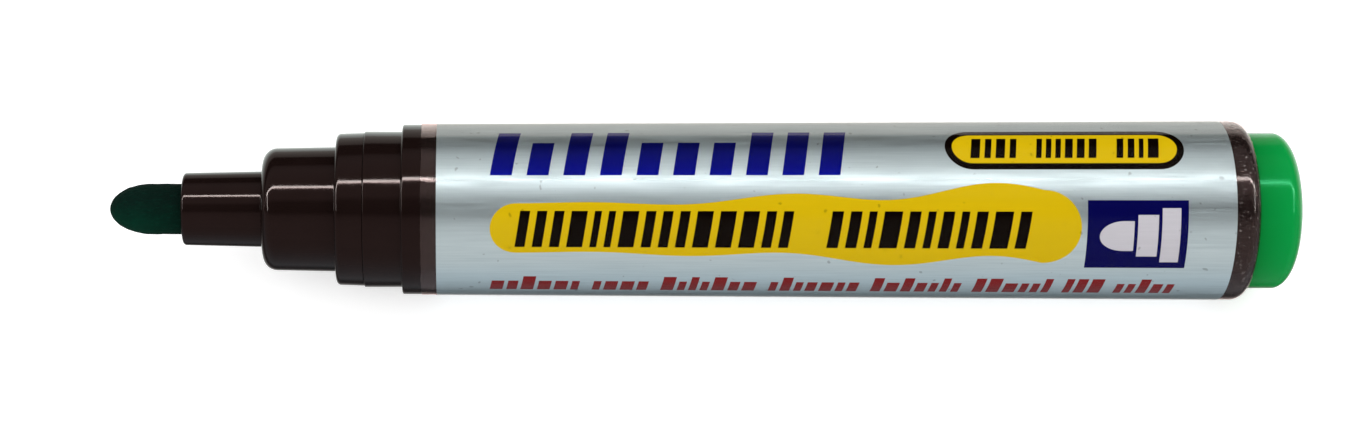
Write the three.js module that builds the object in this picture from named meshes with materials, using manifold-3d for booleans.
// Whiteboard marker without its cap: a bullet nib, a stepped front holder, a tapered barrel with a silver
// print under clear film, a fibre ink reservoir and a green end plug.
//
// Units are millimetres and +Z is up. The marker lies along X, with the nib at -X and the plug at +X, and the
// origin is below the middle of its length, level with the lowest point of the barrel.
//
// Every piece is round about the marker's axis. Its outline is a list of corners [radius, station], where the
// station is the distance from the nib's tip, and a third number rounds the corner. An outline runs
// anticlockwise, with the radius to the right and the station upwards, so that the faces point out.

import * as THREE from 'three';
import { mergeVertices } from 'three/addons/utils/BufferGeometryUtils.js';
import Module from 'manifold-3d';

const wasm = await Module();
wasm.setup();

const QUARTER_TURN = Math.PI / 2;

// Driving dimensions.
const LENGTH = 118.25; // nib tip to plug end
const SIDES = 40; // flat sides round every turned surface
const FIT = 0.05; // radial gap of a push fit
const SEAT_GAP = 0.3; // gap between two pieces that press on each other along the axis

const NOSE_FRONT = 7.2; // stations of the holder's and the barrel's visible steps
const STEP_FRONT = 15.05;
const FLANGE_FRONT = 22.3;
const NECK_FRONT = 25.05;
const SHOULDER = 28.8;
const TAIL = 113.4;

const NIB_RADIUS = 2.5;
const NIB_TIP = 4.2; // length of its rounded end
const NIB_LENGTH = 38.5;

const NECK_RADIUS = 7.73;
const SHOULDER_RADIUS = 8.43;
const TAIL_RADIUS = 9;
const TAIL_ROUND = 1.45;
const SPIGOT_RADIUS = 6.55; // the holder's plug into the barrel's neck
const SPIGOT_REAR = 33;

const CORE_RADIUS = 6.42; // the ink reservoir
const CORE_FRONT = SPIGOT_REAR + 0.35;
const CORE_REAR = 103.7;
const WRAP_RADIUS = 6.6;

const PLUG_RADIUS = 7.86;
const PLUG_EDGE = { across: 3.6, along: 2 }; // the rounded edge of the plug's end
const PLUG_BORE = 7.66; // the barrel's bore round the plug's spigot
const PLUG_SEAT = TAIL - 1.6; // station of the step that the plug's head stops on
const PLUG_FRONT = CORE_REAR + SEAT_GAP;

const FILM_FRONT = 30.7;
const PRINT_FRONT = 32.2;
const PRINT_REAR = 110.7;
const PRINT_THICKNESS = 0.03;
const FILM_THICKNESS = 0.05;
const LAYER_GAP = 0.015;
const LABEL_RECESS = 0.03; // how far the barrel is set back under the print and the film
const FILM_WRAP = THREE.MathUtils.degToRad(50); // how far the film follows the tail's rounding

// Heights of the label's layers above the recessed barrel.
const PRINT_INSIDE = LAYER_GAP;
const PRINT_OUTSIDE = PRINT_INSIDE + PRINT_THICKNESS;
const FILM_INSIDE = PRINT_OUTSIDE + LAYER_GAP;
const FILM_OUTSIDE = FILM_INSIDE + FILM_THICKNESS;

// Where the tail's rounding starts, and the centre of its arc.
const ROUND_START = TAIL - TAIL_ROUND;
const ROUND_CENTRE = [seatRadius(ROUND_START) - TAIL_ROUND, ROUND_START];

const AXIS_HEIGHT = (seatRadius(ROUND_START) + FILM_OUTSIDE) * Math.cos(Math.PI / SIDES);

// The barrel's outer surface, which widens steadily from the shoulder to the tail.
function barrelRadius(station) {
  const share = (station - SHOULDER) / (TAIL - SHOULDER);
  return THREE.MathUtils.lerp(SHOULDER_RADIUS, TAIL_RADIUS, share);
}

// The same surface where it is set back under the print and the film.
function seatRadius(station) {
  return barrelRadius(station) - LABEL_RECESS;
}

// The points that round one corner of an outline, from the edge before it to the edge after it.
function roundedCorner(corner, previous, next, round) {
  const back = previous.clone().sub(corner).normalize();
  const on = next.clone().sub(corner).normalize();
  const half = Math.acos(THREE.MathUtils.clamp(back.dot(on), -1, 1)) / 2;
  const start = back.clone().multiplyScalar(round / Math.tan(half)).add(corner);
  const centre = back.clone().add(on).normalize().multiplyScalar(round / Math.sin(half)).add(corner);
  const sweep = Math.sign(on.cross(back)) * (Math.PI - 2 * half);
  const steps = 2 + Math.round(2 * round);
  return Array.from({ length: steps + 1 }, (_, k) => start.clone().rotateAround(centre, (sweep * k) / steps));
}

// A turned solid. An outline that doesn't start on the axis is a ring, so it closes on its first point.
function turned(corners) {
  const points = corners.map(([radius, station]) => new THREE.Vector2(radius, station));
  const outline = corners.flatMap(([, , round], i) =>
    round ? roundedCorner(points[i], points.at(i - 1), points[(i + 1) % points.length], round) : [points[i]],
  );
  if (outline[0].x > 0) {
    outline.push(outline[0]);
  }
  // Half a step of turn leaves one flat side underneath.
  return new THREE.LatheGeometry(outline, SIDES, Math.PI / SIDES, 2 * Math.PI);
}

// Corners on an elliptical arc about [radius, station], between two angles from the outward direction.
function arc([radius, station], across, along, from, to, steps = 4) {
  return Array.from({ length: steps + 1 }, (_, k) => {
    const angle = THREE.MathUtils.lerp(from, to, k / steps);
    return [radius + across * Math.cos(angle), station + along * Math.sin(angle)];
  });
}

// Straight bars along the axis, evenly spaced round it, from an inner to an outer radius.
function bars({ count, width, inner, outer, front, rear }) {
  return Array.from({ length: count }, (_, k) => {
    const bar = new THREE.BoxGeometry(outer - inner, rear - front, width);
    bar.translate((inner + outer) / 2, (front + rear) / 2, 0);
    bar.rotateY((2 * Math.PI * k) / count);
    return bar;
  });
}

function toManifold(geometry) {
  const bare = geometry.clone();
  bare.deleteAttribute('normal');
  bare.deleteAttribute('uv');
  const merged = mergeVertices(bare);
  const triangles = [];
  for (let i = 0; i < merged.index.count; i += 3) {
    const corners = merged.index.array.slice(i, i + 3);
    // A turned outline that touches the axis leaves triangles with no area there.
    if (new Set(corners).size === 3) {
      triangles.push(...corners);
    }
  }
  return new wasm.Manifold(
    new wasm.Mesh({
      numProp: 3,
      vertProperties: new Float32Array(merged.attributes.position.array),
      triVerts: new Uint32Array(triangles),
    }),
  );
}

function toGeometry(manifold) {
  const mesh = manifold.getMesh();
  const geometry = new THREE.BufferGeometry();
  geometry.setAttribute('position', new THREE.BufferAttribute(mesh.vertProperties, 3));
  geometry.setIndex(new THREE.BufferAttribute(mesh.triVerts, 1));
  const flat = geometry.toNonIndexed();
  flat.computeVertexNormals();
  return flat;
}

function joined(body, pieces) {
  return toGeometry(pieces.reduce((whole, piece) => whole.add(toManifold(piece)), toManifold(body)));
}

function cut(body, pieces) {
  return toGeometry(pieces.reduce((whole, piece) => whole.subtract(toManifold(piece)), toManifold(body)));
}

// The felt nib: a half ellipsoid at the tip, then a plain stem that ends in the reservoir's pocket.
function nib() {
  const chamfer = 0.5;
  return turned([
    ...arc([0, NIB_TIP], NIB_RADIUS, NIB_TIP, -QUARTER_TURN, 0, 8),
    [NIB_RADIUS, NIB_LENGTH - chamfer],
    [NIB_RADIUS - chamfer, NIB_LENGTH],
    [0, NIB_LENGTH],
  ]);
}

// The front moulding: nose, middle step, flange and spigot outside, and a long bore for the nib inside a
// cored rear. Air passes along four grooves in the bore.
function holder() {
  const bore = NIB_RADIUS + FIT;
  const tubeRadius = 3.7;
  const tubeRear = 28;
  const coreRadius = 4.85;
  const coreFront = 17.2;
  const body = turned([
    [bore, NOSE_FRONT],
    [3.57, NOSE_FRONT, 0.35],
    [3.75, STEP_FRONT],
    [6.03, STEP_FRONT, 1.4],
    [6.18, FLANGE_FRONT],
    [7.5, FLANGE_FRONT, 0.45],
    [7.6, NECK_FRONT],
    [SPIGOT_RADIUS, NECK_FRONT],
    [SPIGOT_RADIUS, SPIGOT_REAR, 0.4],
    [coreRadius + 0.3, SPIGOT_REAR],
    [coreRadius, coreFront],
    [tubeRadius, coreFront],
    [tubeRadius, tubeRear],
    [bore, tubeRear],
  ]);
  const grooves = bars({
    count: 4,
    width: 0.7,
    inner: NIB_RADIUS - 0.5,
    outer: NIB_RADIUS + 0.5,
    front: NOSE_FRONT - 1,
    rear: tubeRear + 1,
  });
  return cut(body, grooves);
}

// The tapered tube: the neck that the cap slides on, the shoulder that stops it, a shallow recess for the
// print and film, and a rounded tail with a bore and a seat for the plug. Six ribs inside hold the reservoir
// clear of the wall, so that air passes along it.
function barrel() {
  const neckBore = SPIGOT_RADIUS + FIT;
  const neckBoreRear = SPIGOT_REAR + 0.2;
  const chamberFront = 34.2;
  const chamberRadius = 7.2;
  const mouthRadius = PLUG_RADIUS + FIT;
  const mouthAngle = Math.acos((mouthRadius - ROUND_CENTRE[0]) / TAIL_ROUND);
  const body = turned([
    [neckBore, NECK_FRONT + FIT],
    [NECK_RADIUS, NECK_FRONT + FIT],
    [NECK_RADIUS, SHOULDER],
    [SHOULDER_RADIUS, SHOULDER, 0.2],
    [barrelRadius(FILM_FRONT), FILM_FRONT - FIT],
    [seatRadius(FILM_FRONT), FILM_FRONT - FIT],
    ...arc(ROUND_CENTRE, TAIL_ROUND, TAIL_ROUND, 0, mouthAngle),
    [mouthRadius, PLUG_SEAT],
    [PLUG_BORE, PLUG_SEAT],
    [PLUG_BORE, PLUG_FRONT],
    [chamberRadius, chamberFront],
    [neckBore, neckBoreRear],
  ]);
  const ribs = bars({
    count: 6,
    width: 1.1,
    inner: WRAP_RADIUS + 2 * FIT,
    outer: chamberRadius + 0.75,
    front: chamberFront + 0.5,
    rear: PLUG_FRONT - 1,
  });
  return joined(body, ribs);
}

// The fibre rod, with a pocket in its front end for the nib's stem.
function inkReservoir() {
  const pocketRadius = NIB_RADIUS + FIT;
  const pocketRear = NIB_LENGTH + SEAT_GAP;
  return turned([
    [0, pocketRear],
    [pocketRadius, pocketRear],
    [pocketRadius, CORE_FRONT],
    [CORE_RADIUS, CORE_FRONT, 0.5],
    [CORE_RADIUS, CORE_REAR, 0.5],
    [0, CORE_REAR],
  ]);
}

// The film tube round the fibre rod, which leaves the rod's ends bare.
function reservoirWrap() {
  const bareEnd = 0.7;
  const inside = CORE_RADIUS + FIT;
  return turned([
    [inside, CORE_FRONT + bareEnd],
    [WRAP_RADIUS, CORE_FRONT + bareEnd],
    [WRAP_RADIUS, CORE_REAR - bareEnd],
    [inside, CORE_REAR - bareEnd],
  ]);
}

function printedLabel() {
  return turned([
    [seatRadius(PRINT_FRONT) + PRINT_INSIDE, PRINT_FRONT],
    [seatRadius(PRINT_FRONT) + PRINT_OUTSIDE, PRINT_FRONT],
    [seatRadius(PRINT_REAR) + PRINT_OUTSIDE, PRINT_REAR],
    [seatRadius(PRINT_REAR) + PRINT_INSIDE, PRINT_REAR],
  ]);
}

// The clear film, which ends part of the way round the tail's rounding.
function shrinkSleeve() {
  const outside = TAIL_ROUND + FILM_OUTSIDE;
  const inside = TAIL_ROUND + FILM_INSIDE;
  return turned([
    [seatRadius(FILM_FRONT) + FILM_INSIDE, FILM_FRONT],
    [seatRadius(FILM_FRONT) + FILM_OUTSIDE, FILM_FRONT],
    ...arc(ROUND_CENTRE, outside, outside, 0, FILM_WRAP),
    ...arc(ROUND_CENTRE, inside, inside, FILM_WRAP, 0),
  ]);
}

// The end plug: a head with a rounded end, a hollow spigot with two sealing beads, and a cross of webs inside
// that presses on the reservoir.
function endPlug() {
  const spigotRadius = 7.4;
  const beadRadius = PLUG_BORE - FIT;
  const hollowRadius = 6.1;
  const hollowRear = LENGTH - 2.2;
  const leadIn = 0.6;
  const edgeCentre = [PLUG_RADIUS - PLUG_EDGE.across, LENGTH - PLUG_EDGE.along];
  const beads = [106.4, 109.6].flatMap((station) => [
    [spigotRadius, station - 0.6],
    [beadRadius, station - 0.2],
    [beadRadius, station + 0.2],
    [spigotRadius, station + 0.6],
  ]);
  const shell = turned([
    [0, hollowRear],
    [hollowRadius, hollowRear],
    [hollowRadius, PLUG_FRONT],
    [spigotRadius - leadIn, PLUG_FRONT],
    [spigotRadius, PLUG_FRONT + leadIn],
    ...beads,
    [spigotRadius, PLUG_SEAT + FIT],
    [PLUG_RADIUS, PLUG_SEAT + FIT],
    ...arc(edgeCentre, PLUG_EDGE.across, PLUG_EDGE.along, 0, QUARTER_TURN, 8),
    [0, LENGTH],
  ]);
  const webs = bars({
    count: 4,
    width: 1.1,
    inner: -0.4,
    outer: hollowRadius + 0.3,
    front: PLUG_FRONT + 0.2,
    rear: hollowRear + 0.3,
  });
  return joined(shell, webs);
}

const PIECES = [
  ['nib', nib(), { color: 0x0b3f30, roughness: 0.9 }],
  ['holder', holder(), { color: 0x2c1e1d, roughness: 0.2 }],
  ['barrel', barrel(), { color: 0x2c1e1d, roughness: 0.2 }],
  ['printed_label', printedLabel(), { color: 0xaab6b8, roughness: 0.35, metalness: 0.8 }],
  ['shrink_sleeve', shrinkSleeve(), { color: 0xffffff, roughness: 0.1, transparent: true, opacity: 0.2 }],
  ['ink_reservoir', inkReservoir(), { color: 0x1f6b4a, roughness: 1 }],
  ['reservoir_wrap', reservoirWrap(), { color: 0xe6eae4, roughness: 0.3 }],
  ['end_plug', endPlug(), { color: 0x139447, roughness: 0.3 }],
];

// The outlines are turned about Y, so the group lays that axis along X.
const marker = new THREE.Group();
marker.rotation.z = -Math.PI / 2;
marker.position.set(-LENGTH / 2, 0, AXIS_HEIGHT);
for (const [name, geometry, look] of PIECES) {
  const piece = new THREE.Mesh(geometry, new THREE.MeshStandardMaterial(look));
  piece.name = name;
  marker.add(piece);
}

export default marker;
